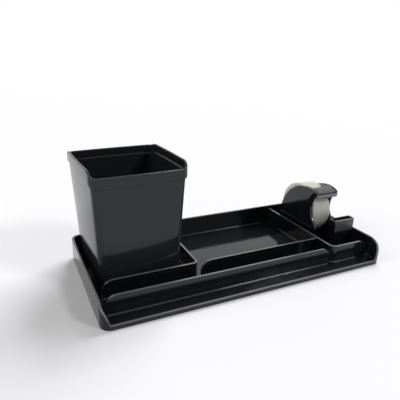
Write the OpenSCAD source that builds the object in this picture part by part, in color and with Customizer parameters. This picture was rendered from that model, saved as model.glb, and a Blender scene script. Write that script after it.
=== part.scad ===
// Desk organizer: a one-piece tray with a lift-out pen cup and a lift-out tape dispenser.
// Millimetres, +Z up, +X to the right, front towards -Y.
// The origin is on the table, under the centre of the tray.

/* [Tray] */
// Length of the tray, left to right
tray_l = 254; // [245:1:300]
// Depth of the tray, front to back
tray_d = 118; // [117:1:140]
// Height of the outer walls above the table
wall_h = 20.5; // [18:0.5:26]
// Thickness of every wall of the tray
wall_t = 1.8; // [1.4:0.1:2.2]
// Thickness of the tray's floor
floor_t = 2; // [1.6:0.1:3]
// Height of the low front lip above the table
lip_h = 4; // [3:0.5:8]
// Radius of the tray's corners in plan
corner_r = 8; // [5:0.5:12]
// Radius of the outer walls' rounded front ends, just behind the lip
shoulder_r = 14; // [6:0.5:14]

/* [Walls inside the tray] */
// Clear depth of the pen groove, between the lip and the front wall
groove_w = 13; // [11:0.5:16]
// Clear depth of the phone slot, between the front wall and the middle walls
slot_w = 19.7; // [16:0.1:21]
// Height of the front wall and of the clip bay's walls above the table
front_wall_h = 17.5; // [14:0.5:20]
// Height of the middle walls, round the cup bay and before the note bay
middle_wall_h = 16.8; // [14:0.1:20]
// Radius of the upper corners at the free ends of the front wall and the clip bay
front_end_r = 8.5; // [3:0.5:11]
// Radius of the upper corners at the free ends of the middle walls
middle_end_r = 9.5; // [3:0.5:11]
// Gap between the front walls' outer ends and the outer walls
front_end_gap = 4.3; // [3:0.1:8]
// Gap between the middle wall's left end and the left outer wall
middle_end_gap = 6.6; // [4:0.1:10]
// Clear width of the pen cup's bay
cup_bay_w = 84.4; // [80:0.1:90]
// Radius in plan of the cup bay's front corner
cup_bay_r = 5; // [3:0.5:8]
// Width of the finger gap between the cup bay and the note bay's front wall
finger_gap = 2.2; // [2:0.1:6]
// Clear width of the clip bay
clip_bay_w = 42.1; // [38:0.1:48]
// Radius in plan of the clip bay's front corner
clip_bay_r = 6; // [3:0.5:8]
// Gap between the front wall's right end and the clip bay
front_gap = 2.8; // [2:0.1:6]

/* [Upright pocket] */
// Width of the upright pocket, inwards from the tray's right face
pocket_w = 25; // [18:0.5:30]
// Depth of the upright pocket, front to back
pocket_d = 8.4; // [8:0.1:12]
// Height of the upright pocket above the table
pocket_h = 29.5; // [24:0.5:40]
// Distance from the tray's front edge to the upright pocket
pocket_front = 37.6; // [34:0.1:38]
// Radius of the upright pocket's vertical corners
pocket_r = 2; // [1:0.5:2.5]

/* [Pen cup] */
// Width of the square pen cup across its rim band
cup_top_w = 77; // [70:0.5:77]
// Height of the pen cup at its front
cup_h = 93; // [70:0.1:110]
// How far the rim stands higher at the sides than at the front
rim_rise = 4.7; // [0.5:0.1:8]
// How far the rim stands higher at the rear than at the front
rim_rear = 2.6; // [0:0.1:8]
// Length, front to back, over which the rim swings from the front or the rear to the side
rim_run = 11; // [5:0.5:16]
// Height of the rim band
rim_h = 8; // [5:0.1:12]
// How far the rim band stands out from the cup's body
rim_step = 1.4; // [1:0.1:1.6]
// How far each side leans in from the rim to the foot
cup_taper = 3.2; // [2:0.1:5]
// Thickness of the pen cup's walls
cup_wall = 1.8; // [1.6:0.1:2.4]
// Thickness of the pen cup's floor
cup_floor = 2; // [1.5:0.1:4]
// Radius of the rim band's corners in plan
cup_r = 7; // [5:0.5:14]
// Gap between the cup's foot and the left outer wall
cup_side_gap = 5.5; // [4.5:0.1:6.5]
// Gap between the cup's foot and the middle wall
cup_front_gap = 5.8; // [4.5:0.1:5.9]
// Angle by which the loose cup stands turned in its bay
cup_turn = 3; // [0:0.5:3]

/* [Tape dispenser] */
// Width of the dispenser across its side plates
disp_w = 26; // [25:0.1:30]
// Length of the dispenser, from its toe to its back
disp_l = 56; // [54:0.5:64]
// Height of the dispenser
disp_h = 55.5; // [54:0.5:62]
// Thickness of each side plate
plate_t = 2.6; // [2.4:0.1:3]
// Radius of the side plates' long rear curve
plate_r = 40; // [38:0.5:42]
// Radius of the side plates' curve over the nose
nose_r = 25; // [22:0.5:26]
// Distance from the toe back to the front face of the nose
nose_y = 4; // [3:0.1:5]
// Radius of the mouth between the nose and the toe
mouth_r = 18; // [16:0.5:19]
// Height of the mouth's centre above the dispenser's foot
mouth_z = 37; // [36:0.5:38]
// Depth of the mouth, measured back from the toe
mouth_depth = 10.8; // [9:0.1:12]
// Thickness of the dispenser's base and of its low front and rear walls
base_t = 2.4; // [2:0.1:3]
// Height of the low front wall between the toes
toe_wall_h = 6; // [4:0.5:8]
// Height of the low rear wall
rear_wall_h = 10; // [6:0.5:12]
// Length of the bridge over the nose, front to back
bridge_l = 9.5; // [8:0.5:12]
// Thickness of the bridge over the nose
bridge_t = 2.2; // [1.8:0.1:3]
// Height of the bridge's front face
bridge_face_h = 4.1; // [3.5:0.1:6]
// Gap between the dispenser and the clip bay's left wall
disp_side_gap = 3.9; // [2:0.1:8]
// Gap between the dispenser's toe and the upright pocket
disp_front_gap = 0.5; // [0.3:0.1:2]

/* [Cutter] */
// Width of the cutter blade
blade_w = 24; // [18:0.5:25]
// Height of the cutter blade, without its teeth
blade_h = 3.2; // [2.5:0.1:4]
// Thickness of the cutter blade
blade_t = 0.6; // [0.4:0.1:1]
// Pitch of the cutter's teeth
tooth_pitch = 1.6; // [1.2:0.1:2.4]
// Height of the cutter's teeth
tooth_h = 1.1; // [0.6:0.1:1.4]

/* [Tape] */
// Width of the tape
tape_w = 19; // [12:0.5:19]
// Outer diameter of the roll of tape
roll_d = 50; // [40:0.5:50]
// Inner diameter of the roll's core
core_bore = 26; // [24:0.5:26]
// Thickness of the roll's core
core_t = 1.5; // [1:0.1:3]
// Thickness shown for the free end of the tape
tape_t = 0.3; // [0.2:0.05:0.4]
// Distance from the toe back to the roll's axis
roll_y = 32.5; // [32:0.5:34]
// Gap between a full roll and the dispenser's base
roll_gap = 1.4; // [1:0.1:3]
// Diameter of the spool's stub axles
axle_d = 6; // [5:0.1:8]
// Length of each stub axle beyond the spool
axle_l = 1.1; // [0.9:0.1:1.3]

/* [Hidden] */
$fn = 96;
eps = 1;                 // how far a cutting shape runs past what it cuts
axle_play = 0.08;        // running clearance round a stub axle
side_play = 0.2;         // sideways clearance of the spool between the plates
core_play = 0.15;        // clearance of the core round the spool, and of the roll round its core
groove_deep = 1.5;       // depth of the axle grooves in the side plates
tape_clear = 0.3;        // clearance of the free tape off the turning roll
spool_rim = 1.8;         // thickness of the spool's rim
spool_web = 2.4;         // thickness of the spool's web
hub_d = axle_d + 5;

// Tray: edges and faces in X and Y
left = -tray_l / 2;
right = tray_l / 2;
front = -tray_d / 2;
left_face = left + wall_t;
right_face = right - wall_t;
rear_face = tray_d / 2 - wall_t;
front_wall_y = front + wall_t + groove_w;
middle_wall_y = front_wall_y + wall_t + slot_w;
cup_bay_right = left_face + cup_bay_w + wall_t;
clip_bay_left = right_face - clip_bay_w - wall_t;
fuse = wall_t / 2;       // how far a wall runs into the wall that it joins

// Pen cup
cup_body_w = cup_top_w - 2 * rim_step;
cup_foot_w = cup_body_w - 2 * cup_taper;
cup_body_h = cup_h - rim_h;
cup_full_h = cup_h + max(rim_rise, rim_rear);
ledge_h = 1.2;           // height of the ledge inside, above the rim band's lower edge
rim_steps = 10;          // points along each swing of the rim
cup_x = left_face + cup_side_gap + cup_foot_w / 2;
cup_y = middle_wall_y + wall_t + cup_front_gap + cup_foot_w / 2;

// Tape dispenser: its own frame has y back from the toe and z up from the foot
disp_x = clip_bay_left + wall_t + disp_side_gap;
disp_y = front + pocket_front + pocket_d + disp_front_gap;
plate_gap = disp_w - 2 * plate_t;
arc_y = disp_l - plate_r;
rear_arc_z = disp_h - plate_r;
nose_arc_z = disp_h - nose_r;
mouth_y = mouth_depth - mouth_r;
nose_top = nose_arc_z + sqrt(pow(nose_r, 2) - pow(arc_y - nose_y, 2));
bridge_back = nose_y + bridge_l;
roll_z = base_t + roll_gap + roll_d / 2;
core_d = core_bore + 2 * core_t;
spool_d = core_bore - 2 * core_play;
spool_w = plate_gap - 2 * side_play;

// A rectangle with four round corners, centred
module round_rect(w, d, r) {
    square([w - 2 * r, d], center = true);
    square([w, d - 2 * r], center = true);
    for (sx = [-1, 1], sy = [-1, 1])
        translate([sx * (w / 2 - r), sy * (d / 2 - r)]) circle(r);
}

// Stands a flat outline up so that its x runs along Y, its y runs up, and it is extruded along X
module along_x(w) {
    rotate([90, 0, 90]) linear_extrude(w) children();
}

// Stands a flat outline up as a wall: its x stays along X, its y runs up, and it is wall_t thick
module as_wall() {
    translate([0, wall_t, 0]) rotate([90, 0, 0]) linear_extrude(wall_t) children();
}

// What is cut away to round an upper left corner at height h
module corner_cut(h, r) {
    difference() {
        translate([-eps, h - r]) square(r + eps);
        translate([r, h - r]) circle(r);
    }
}

// The outline of a straight wall with round upper corners; a radius of 0 leaves a corner square
module wall_outline(w, h, left_r, right_r) {
    difference() {
        square([w, h]);
        if (left_r > 0) corner_cut(h, left_r);
        if (right_r > 0) translate([w, 0]) mirror([1, 0]) corner_cut(h, right_r);
    }
}

// A block with one round corner at its origin
module corner_block(w, d, r) {
    difference() {
        square([w, d]);
        difference() {
            translate([-eps, -eps]) square(r + eps);
            translate([r, r]) circle(r);
        }
    }
}

// A wall that runs along X from a free end, turns a round corner at its origin and runs back along Y
module bay_wall(w, d, h, plan_r, end_r) {
    difference() {
        linear_extrude(h) difference() {
            corner_block(w, d, plan_r);
            translate([wall_t, wall_t]) corner_block(w, d, plan_r - wall_t);
        }
        translate([w, wall_t + eps, 0]) mirror([1, 0, 0]) rotate([90, 0, 0])
            linear_extrude(wall_t + 2 * eps) corner_cut(h, end_r);
    }
}

// Outline of what is cut from the outer walls at the front: everything above the lip as far back as
// the lip is thick, and then the upper front corner of the side walls
module shoulder_cut() {
    translate([-eps, lip_h]) square([wall_t + eps, wall_h]);
    translate([wall_t, 0]) corner_cut(wall_h, shoulder_r);
}

// Floor, outer walls with their rounded front ends, and the low front lip
module outer_shell() {
    linear_extrude(floor_t) round_rect(tray_l, tray_d, corner_r);
    difference() {
        linear_extrude(wall_h) difference() {
            round_rect(tray_l, tray_d, corner_r);
            round_rect(tray_l - 2 * wall_t, tray_d - 2 * wall_t, corner_r - wall_t);
        }
        translate([left - eps, front, 0]) along_x(tray_l + 2 * eps) shoulder_cut();
    }
}

// Long front wall of the phone slot, free at both ends
module front_wall() {
    x0 = left_face + front_end_gap;
    translate([x0, front_wall_y, 0]) as_wall()
        wall_outline(clip_bay_left - front_gap - x0, front_wall_h, front_end_r, front_end_r);
}

// Wall before and beside the pen cup
module cup_bay_wall() {
    translate([cup_bay_right, middle_wall_y, 0]) mirror([1, 0, 0])
        bay_wall(cup_bay_right - left_face - middle_end_gap, rear_face - middle_wall_y + fuse,
                 middle_wall_h, cup_bay_r, middle_end_r);
}

// Wall before the note bay, which also holds the back of a phone
module note_bay_wall() {
    x0 = cup_bay_right + finger_gap;
    translate([x0, middle_wall_y, 0]) as_wall()
        wall_outline(clip_bay_left + fuse - x0, middle_wall_h, middle_end_r, 0);
}

// Wall before and beside the clip bay
module clip_bay_wall() {
    translate([clip_bay_left, front_wall_y, 0])
        bay_wall(right_face - front_end_gap - clip_bay_left, rear_face - front_wall_y + fuse,
                 front_wall_h, clip_bay_r, front_end_r);
}

// Narrow upright pocket at the right outer wall, which also stops the dispenser's toe
module upright_pocket() {
    translate([right - pocket_w / 2, front + pocket_front + pocket_d / 2, 0]) difference() {
        linear_extrude(pocket_h) round_rect(pocket_w, pocket_d, pocket_r);
        translate([0, 0, floor_t]) linear_extrude(pocket_h)
            round_rect(pocket_w - 2 * wall_t, pocket_d - 2 * wall_t, pocket_r - wall_t / 2);
    }
}

module tray() {
    color("#1b1c1e") {
        outer_shell();
        front_wall();
        cup_bay_wall();
        note_bay_wall();
        clip_bay_wall();
        upright_pocket();
    }
}

// Half the width of the cup's body at height z, with a straight lean from the foot to the rim band
function cup_half(z) = cup_foot_w / 2 + cup_taper * z / cup_body_h;

// A square block with round corners that widens with the cup's lean, from height z0 to z1
module cup_block(z0, z1, inset) {
    w0 = 2 * (cup_half(z0) - inset);
    w1 = 2 * (cup_half(z1) - inset);
    translate([0, 0, z0]) linear_extrude(z1 - z0, scale = w1 / w0)
        round_rect(w0, w0, cup_r - rim_step - inset, $fn = 64);
}

// Height of the rim above its front, at part t of the run from a level start to the sides
function rim_swing(start, t) = start + (rim_rise - start) * (1 - cos(180 * t)) / 2;

// Everything below the line of the rim, moved up by lift; the line is level at the front, at the
// rear and along the sides
module below_rim(lift) {
    half = cup_top_w / 2;
    low = cup_h + lift;
    translate([-half - eps, 0, 0]) along_x(2 * half + 2 * eps) polygon(concat(
        [[-half - eps, -eps], [-half - eps, low]],
        [for (i = [0:rim_steps]) let (t = i / rim_steps) [t * rim_run - half, low + rim_swing(0, t)]],
        [for (i = [rim_steps:-1:0]) let (t = i / rim_steps)
            [half - t * rim_run, low + rim_swing(rim_rear, t)]],
        [[half + eps, low + rim_rear], [half + eps, -eps]]
    ));
}

// The upright prism of the rim band, drawn in by inset
module rim_prism(inset) {
    linear_extrude(cup_full_h + eps)
        round_rect(cup_top_w - 2 * inset, cup_top_w - 2 * inset, cup_r - inset);
}

module pen_cup() {
    color("#232527") translate([cup_x, cup_y, floor_t]) rotate(cup_turn) difference() {
        intersection() {
            below_rim(0);
            union() {
                cup_block(0, cup_full_h, 0);
                difference() {
                    rim_prism(0);
                    below_rim(-rim_h);
                }
            }
        }
        cup_block(cup_floor, cup_full_h + eps, cup_wall);
        difference() {
            rim_prism(cup_wall);
            below_rim(ledge_h - rim_h);
        }
    }
}

// Moves a piece from the dispenser's own frame to its place in the tray
module in_dispenser(x = 0) {
    translate([disp_x + x, disp_y, floor_t]) children();
}

// Outline of a side plate: long rear curve, tighter nose, round mouth before the roll
module plate_outline() {
    difference() {
        union() {
            square([disp_l, rear_arc_z]);
            square([arc_y, nose_arc_z]);
            intersection() {
                translate([arc_y, rear_arc_z]) circle(plate_r);
                translate([arc_y, rear_arc_z]) square(plate_r + eps);
            }
            intersection() {
                translate([arc_y, nose_arc_z]) circle(nose_r);
                translate([nose_y, nose_arc_z]) square([arc_y - nose_y, nose_r + eps]);
            }
        }
        translate([mouth_y, mouth_z]) circle(mouth_r);
    }
}

// Groove for a stub axle: round at the roll's axis and open at the top
module axle_groove() {
    groove_r = axle_d / 2 + axle_play;
    translate([roll_y, roll_z]) circle(groove_r);
    translate([roll_y - groove_r, roll_z]) square([2 * groove_r, disp_h]);
}

// Outline of the bridge over the nose: a curved top with a front face
module bridge_outline() {
    intersection() {
        difference() {
            translate([arc_y, nose_arc_z]) circle(nose_r);
            translate([arc_y, nose_arc_z]) circle(nose_r - bridge_t);
        }
        translate([nose_y, nose_arc_z]) square([bridge_l, nose_r + eps]);
    }
    translate([nose_y, nose_top - bridge_face_h]) square([bridge_t, bridge_face_h - bridge_t / 2]);
}

module dispenser_body() {
    lap = plate_t / 2;
    color("#1f2022") {
        for (x = [0, disp_w - plate_t])
            in_dispenser(x) difference() {
                along_x(plate_t) plate_outline();
                translate([x == 0 ? plate_t - groove_deep : -eps, 0, 0])
                    along_x(groove_deep + eps) axle_groove();
            }
        in_dispenser(lap) along_x(disp_w - 2 * lap) {
            square([disp_l, base_t]);
            square([base_t, toe_wall_h]);
            translate([disp_l - base_t, 0]) square([base_t, rear_wall_h]);
            bridge_outline();
        }
    }
}

module cutter_blade() {
    teeth = floor(blade_w / tooth_pitch);
    pitch = blade_w / teeth;
    color("#b9bdc1") in_dispenser((disp_w - blade_w) / 2)
        translate([0, nose_y, nose_top - bridge_t / 2 - blade_h]) rotate([90, 0, 0])
            linear_extrude(blade_t) polygon(concat(
                [[blade_w, 0], [blade_w, blade_h], [0, blade_h], [0, 0]],
                [for (i = [0:teeth - 1], p = [0, 1]) [(i + (p + 1) / 2) * pitch, p == 0 ? -tooth_h : 0]]
            ));
}

// A ring round the roll's axis, centred between the side plates
module roll_ring(outer_d, inner_d, w) {
    in_dispenser((disp_w - w) / 2) translate([0, roll_y, roll_z]) rotate([0, 90, 0]) difference() {
        cylinder(d = outer_d, h = w);
        translate([0, 0, -eps]) cylinder(d = inner_d, h = w + 2 * eps);
    }
}

// A disc or rod on the roll's axis, centred between the side plates
module roll_disc(d, w) {
    in_dispenser((disp_w - w) / 2) translate([0, roll_y, roll_z]) rotate([0, 90, 0])
        cylinder(d = d, h = w);
}

module tape_spool() {
    color("#2a2b2e") {
        roll_ring(spool_d, spool_d - 2 * spool_rim, tape_w);
        roll_disc(spool_d - spool_rim, spool_web);
        roll_disc(hub_d, spool_w);
        roll_disc(axle_d, spool_w + 2 * axle_l);
    }
}

module tape_core() {
    color("#d9c9a6") roll_ring(core_d, core_bore, tape_w);
}

module tape_roll() {
    color("#e9ebe2") roll_ring(roll_d, core_d + core_play, tape_w);
}

// Free end of the tape: straight from the top of the roll, then over the bridge to its front edge
module tape_end() {
    lead_y = bridge_back - arc_y;
    lead_z = sqrt(pow(nose_r, 2) - pow(lead_y, 2)) + nose_arc_z;
    to_roll = [roll_y - bridge_back, roll_z - lead_z];
    reach = norm(to_roll);
    clear_r = roll_d / 2 + tape_clear;
    run = sqrt(pow(reach, 2) - pow(clear_r, 2));
    slope = atan2(to_roll[1], to_roll[0]) + asin(clear_r / reach);
    color("#eef0e8") in_dispenser((disp_w - tape_w) / 2) along_x(tape_w) {
        translate([bridge_back, lead_z]) rotate(slope) square([run, tape_t]);
        intersection() {
            difference() {
                translate([arc_y, nose_arc_z]) circle(nose_r + tape_t);
                translate([arc_y, nose_arc_z]) circle(nose_r);
            }
            translate([nose_y, nose_arc_z]) square([bridge_l + tape_t / 4, nose_r + eps]);
        }
    }
}

tray();
pen_cup();
dispenser_body();
cutter_blade();
tape_spool();
tape_core();
tape_roll();
tape_end();
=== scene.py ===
"""Looks of a desk organizer: a moulded tray with a pen cup and a tape dispenser standing in it."""

import bmesh
import bpy
import numpy as np
from mathutils import Matrix, Vector


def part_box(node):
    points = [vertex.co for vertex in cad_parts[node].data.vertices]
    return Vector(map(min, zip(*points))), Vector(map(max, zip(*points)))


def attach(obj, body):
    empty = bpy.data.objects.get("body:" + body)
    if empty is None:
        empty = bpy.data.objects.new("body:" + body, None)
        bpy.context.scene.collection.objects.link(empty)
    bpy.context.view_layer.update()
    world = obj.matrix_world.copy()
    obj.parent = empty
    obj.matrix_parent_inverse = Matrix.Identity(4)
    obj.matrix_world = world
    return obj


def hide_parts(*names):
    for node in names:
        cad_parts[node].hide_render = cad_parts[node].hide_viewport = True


bl_info = {
    "name": "Desk organizer",
    "version": (1, 0, 0),
    "blender": (4, 5, 0),
    "location": "View3D > Sidebar > Organizer",
    "description": "Builds the pieces of a desk organizer round its packed frame",
    "category": "Object",
}

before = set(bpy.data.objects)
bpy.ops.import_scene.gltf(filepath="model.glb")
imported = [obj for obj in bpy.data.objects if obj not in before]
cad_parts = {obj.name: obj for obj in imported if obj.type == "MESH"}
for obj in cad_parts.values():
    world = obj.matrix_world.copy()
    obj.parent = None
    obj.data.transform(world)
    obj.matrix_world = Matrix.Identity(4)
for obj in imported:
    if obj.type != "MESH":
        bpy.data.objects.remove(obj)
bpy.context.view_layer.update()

MM = 0.001
TRAY_LOW, TRAY_HIGH = np.array(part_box("tray"))
CUP_LOW, CUP_HIGH = np.array(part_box("pen_cup"))
DISPENSER_LOW, DISPENSER_HIGH = np.array(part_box("dispenser_body"))
DISPENSER_SIZE = DISPENSER_HIGH - DISPENSER_LOW
BLADE_LOW, BLADE_HIGH = np.array(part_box("cutter_blade"))
SPOOL_LOW, SPOOL_HIGH = np.array(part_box("tape_spool"))
CORE_LOW, CORE_HIGH = np.array(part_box("tape_core"))
ROLL_LOW, ROLL_HIGH = np.array(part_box("tape_roll"))
AXIS = ((ROLL_LOW + ROLL_HIGH) / 2)[1:]   # (y, z) of the roll's axis, which runs along X

NODES = {   # each CAD node's body and material slot
    "tray": ("tray", "tray_plastic"), "pen_cup": ("pen_cup", "cup_plastic"),
    "dispenser_body": ("dispenser", "dispenser_plastic"), "cutter_blade": ("dispenser", "blade_steel"),
    "tape_end": ("dispenser", "tape_film"), "tape_roll": ("roll", "tape_film"),
    "tape_core": ("roll", "core_board"), "tape_spool": ("roll", "spool_plastic"),
}

SMALL_EDGE = 0.3 * MM   # radius of the dispenser's and spool's lesser edges
BEYOND = 1 * MM   # how far a cutting shape reaches past what it cuts


def length(name, description, millimetres):
    """A length property, given in millimetres and kept in metres."""
    return bpy.props.FloatProperty(
        name=name, description=description, default=millimetres * MM, min=0.0, unit="LENGTH", precision=4)


def angle(name, description, degrees):
    """An angle property, given in degrees and kept in radians."""
    return bpy.props.FloatProperty(
        name=name, description=description, default=float(np.radians(degrees)), subtype="ANGLE")


def colour(name, description, hex_value):
    """A colour property from an sRGB hex value."""
    return bpy.props.FloatVectorProperty(
        name=name, description=description, default=linear(hex_value), size=3, min=0.0, max=1.0,
        subtype="COLOR")


def linear(hex_value):
    """Linear red, green and blue of an sRGB colour written as #rrggbb."""
    s = np.array([int(hex_value[i:i + 2], 16) for i in (1, 3, 5)]) / 255
    return tuple(float(c) for c in np.where(s <= 0.04045, s / 12.92, ((s + 0.055) / 1.055) ** 2.4))


# ---------------- sizes and colours

class TraySizes(bpy.types.PropertyGroup):
    """Sizes of the moulded tray and the walls inside it."""
    wall: length("Wall", "Thickness of every wall of the tray", 1.8)
    floor: length("Floor", "Thickness of the tray's floor", 2.0)
    height: length("Height", "Height of the outer walls above the table", 20.5)
    lip: length("Lip", "Height of the low front lip above the table", 4.0)
    corner: length("Corner radius", "Radius of the tray's corners in plan", 8.0)
    shoulder: length("Shoulder radius", "Radius of the outer walls' rounded front ends", 14.0)
    groove: length("Pen groove", "Clear depth of the pen groove", 13.0)
    slot: length("Phone slot", "Clear depth of the phone slot", 19.7)
    front_wall: length("Front walls", "Height of the front wall and of the clip bay's walls", 17.5)
    middle_wall: length("Middle walls", "Height of the walls round the cup bay and before the note bay", 16.8)
    front_end: length("Front end radius", "Radius of the front walls' free upper corners", 8.5)
    middle_end: length("Middle end radius", "Radius of the middle walls' free upper corners", 9.5)
    front_gap: length("Front side gap", "Gap between the front walls and the outer walls", 4.3)
    middle_gap: length("Middle side gap", "Gap between the middle wall and the left outer wall", 6.6)
    cup_bay: length("Cup bay", "Clear width of the pen cup's bay", 84.4)
    cup_bay_corner: length("Cup bay corner", "Radius in plan of the cup bay's front corner", 5.0)
    finger_gap: length("Finger gap", "Gap between the cup bay and the note bay's front wall", 2.2)
    clip_bay: length("Clip bay", "Clear width of the clip bay", 42.1)
    clip_bay_corner: length("Clip bay corner", "Radius in plan of the clip bay's front corner", 6.0)
    clip_gap: length("Clip bay gap", "Gap between the front wall and the clip bay", 2.8)
    edge: length("Edge radius", "Radius of the walls' moulded edges", 0.55)
    fillet: length("Foot fillet", "Radius of the fillet where a wall meets the floor", 0.9)
    pocket_width: length("Pocket width", "Width of the upright pocket", 25.0)
    pocket_depth: length("Pocket depth", "Depth of the upright pocket", 8.4)
    pocket_height: length("Pocket height", "Height of the upright pocket above the table", 29.5)
    pocket_front: length("Pocket place", "Distance from the tray's front to the pocket", 37.6)
    pocket_corner: length("Pocket corner", "Radius of the pocket's vertical corners", 2.0)
    plastic: colour("Plastic", "Colour of the tray's moulded plastic", "#181b1f")


class CupSizes(bpy.types.PropertyGroup):
    """Sizes of the pen cup."""
    width: length("Width", "Width across the rim band", 77.0)
    height: length("Height", "Height at the front", 93.0)
    rise: length("Rim rise", "How far the rim stands higher at the sides than at the front", 4.7)
    rear: length("Rear rise", "How far the rim stands higher at the rear than at the front", 2.6)
    run: length("Rim run", "Length over which the rim swings from front or rear to the sides", 11.0)
    band: length("Rim band", "Height of the rim band", 8.0)
    step: length("Rim step", "How far the rim band stands out from the body", 1.4)
    taper: length("Taper", "How far each side leans in to the foot", 3.2)
    wall: length("Wall", "Thickness of the walls", 1.8)
    floor: length("Floor", "Thickness of the floor", 2.0)
    corner: length("Corner radius", "Radius of the rim band's corners in plan", 7.0)
    ledge: length("Ledge", "Height of the inner ledge above the band's lower edge", 1.2)
    crown: length("Crown", "How far the middle of each side stands proud of its corners", 0.7)
    bulge: length("Bulge", "How much further the corners draw in towards the foot", 1.3)
    turn: angle("Turn", "Angle by which the loose cup stands turned", 3)
    plastic: colour("Plastic", "Colour of the cup's moulded plastic", "#282b2f")


class DispenserSizes(bpy.types.PropertyGroup):
    """Sizes of the tape dispenser's body and blade."""
    plate: length("Side plate", "Thickness of each side plate", 2.6)
    rear_curve: length("Rear curve", "Radius of the side plates' long rear curve", 40.0)
    nose_curve: length("Nose curve", "Radius of the side plates' curve over the nose", 25.0)
    nose: length("Nose", "Distance from the toe back to the nose's front face", 4.0)
    mouth: length("Mouth", "Radius of the mouth between nose and toe", 18.0)
    mouth_height: length("Mouth height", "Height of the mouth's centre above the foot", 37.0)
    mouth_depth: length("Mouth depth", "Depth of the mouth, back from the toe", 10.8)
    base: length("Base", "Thickness of the base and its low walls", 2.4)
    toe_wall: length("Toe wall", "Height of the low front wall", 6.0)
    rear_wall: length("Rear wall", "Height of the low rear wall", 10.0)
    bridge: length("Bridge", "Length of the bridge over the nose", 9.5)
    bridge_thick: length("Bridge thickness", "Thickness of the bridge over the nose", 2.2)
    bridge_face: length("Bridge face", "Height of the bridge's front face", 4.1)
    axle: length("Axle groove", "Width of the grooves for the spool's axles", 6.16)
    axle_depth: length("Groove depth", "Depth of the axle grooves", 1.5)
    edge: length("Edge radius", "Radius of the side plates' edges", 0.6)
    flare: length("Mouth flare", "Width over which the outer faces roll into the mouth", 4.5)
    flare_in: length("Flare depth", "Depth to which the outer faces roll into the mouth", 1.3)
    tooth: length("Tooth pitch", "Pitch of the cutter's teeth", 1.6)
    tooth_height: length("Tooth height", "Height of the cutter's teeth", 1.1)
    plastic: colour("Plastic", "Colour of the dispenser's moulded plastic", "#181b1f")
    # The steel's colour is darker than bare steel: painted shade, where the cutter stands under the nose.
    steel: colour("Steel", "Colour of the cutter's steel strip", "#6e7074")


class TapeSizes(bpy.types.PropertyGroup):
    """Sizes of the roll of tape and its spool."""
    width: length("Width", "Width of the tape", 19.0)
    core: length("Core", "Thickness of the roll's core", 1.5)
    rim: length("Spool rim", "Thickness of the spool's rim", 1.8)
    web: length("Spool web", "Thickness of the spool's web", 2.4)
    axle: length("Axle", "Diameter of the spool's stub axles", 6.0)
    hub: length("Hub", "Diameter of the spool's hub", 11.0)
    axle_length: length("Axle length", "Length of each stub axle beyond the hub", 1.1)
    film: length("Film", "Thickness shown for the free end of the tape", 0.3)
    clear: length("Clearance", "Clearance of the free end off the turning roll", 0.3)
    film_colour: colour("Film", "Colour of the wound film", "#d9d9cd")
    board: colour("Board", "Colour of the roll's board core", "#bfae8c")
    plastic: colour("Spool plastic", "Colour of the spool's moulded plastic", "#16171a")


class StageSettings(bpy.types.PropertyGroup):
    """The camera and the floor."""
    place: bpy.props.FloatVectorProperty(
        name="Camera", description="Place of the camera", default=(-0.1706, -0.2928, 0.1818), size=3,
        unit="LENGTH", precision=4)
    yaw: angle("Yaw", "Turn of the view from +Y towards +X", 25.8)
    pitch: angle("Pitch", "Angle by which the view looks down", 20.3)
    roll: angle("Roll", "Turn of the camera about its own view", 1.7)
    lens: bpy.props.FloatProperty(
        name="Lens", description="Focal length on a sensor 36 mm wide", default=37.68, unit="CAMERA")
    floor: colour("Floor", "Colour of the floor", "#e4e4e6")


# ---------------- mesh tools

def add_object(name, data):
    """Puts a new object with this data into the scene."""
    made = bpy.data.objects.new(name, data)
    bpy.context.scene.collection.objects.link(made)
    return made


def new_solid(name, points, faces):
    """Puts a mesh of points (n, 3) in metres and faces, turned outwards, into the scene."""
    mesh = bpy.data.meshes.new(name)
    mesh.from_pydata(points.tolist(), [], faces)
    shape = bmesh.new()
    shape.from_mesh(mesh)
    bmesh.ops.recalc_face_normals(shape, faces=shape.faces)
    shape.to_mesh(mesh)
    shape.free()
    mesh.shade_smooth()
    return add_object(name, mesh)


def new_piece(name, node, shape, *materials):
    """Makes a piece from its points and faces, in place of a CAD node and riding on that node's body.

    Its faces take the first material; the others wait for its rims and rounded edges, which carry a painted
    highlight, and for faces with a painted reflection.
    """
    body, slot = NODES[node]
    piece = new_solid(name, *shape)
    for material in materials:
        piece.data.materials.append(material)
    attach(piece, body)
    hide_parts(node)
    return piece


def tube(sections, ring=False):
    """Points and faces of a closed surface through sections (rows, n, 3), each a closed loop of points.

    Its two ends are flat faces; where ring is set, the last section joins the first.
    """
    rows, n = sections.shape[:2]
    r, c = np.arange(rows if ring else rows - 1)[:, None], np.arange(n)[None, :]
    r1, c1 = (r + 1) % rows, (c + 1) % n
    faces = np.stack([r * n + c, r * n + c1, r1 * n + c1, r1 * n + c], axis=-1).reshape(-1, 4).tolist()
    if not ring:
        faces += [list(range(n))[::-1], list(range((rows - 1) * n, rows * n))]
    return sections.reshape(-1, 3), faces


def joined(*parts):
    """One set of points and faces from several."""
    starts = np.cumsum([0] + [len(points) for points, _ in parts[:-1]])
    faces = [[i + int(start) for i in face] for start, (_, part) in zip(starts, parts) for face in part]
    return np.vstack([points for points, _ in parts]), faces


def round_edges(piece, radius, segments=3):
    """Rounds the piece's sharp edges and keeps its flat faces flat in the light."""
    bevel = piece.modifiers.new("Moulded edges", "BEVEL")
    bevel.width = radius
    bevel.segments = segments
    bevel.limit_method = "ANGLE"
    bevel.angle_limit = np.radians(35)
    bevel.harden_normals = True
    return bevel


def flatten_light(piece):
    """Weights the normals by face area, so that large flat faces stay flat up to their fillets."""
    weighted = piece.modifiers.new("Flat faces", "WEIGHTED_NORMAL")
    weighted.mode = "FACE_AREA"
    weighted.weight = 80


def mark_faces(piece, numbers):
    """Gives the piece's first faces the materials of these numbers."""
    faces = np.zeros(len(piece.data.polygons), dtype=np.int32)
    faces[:len(numbers)] = numbers
    piece.data.polygons.foreach_set("material_index", faces)


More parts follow.
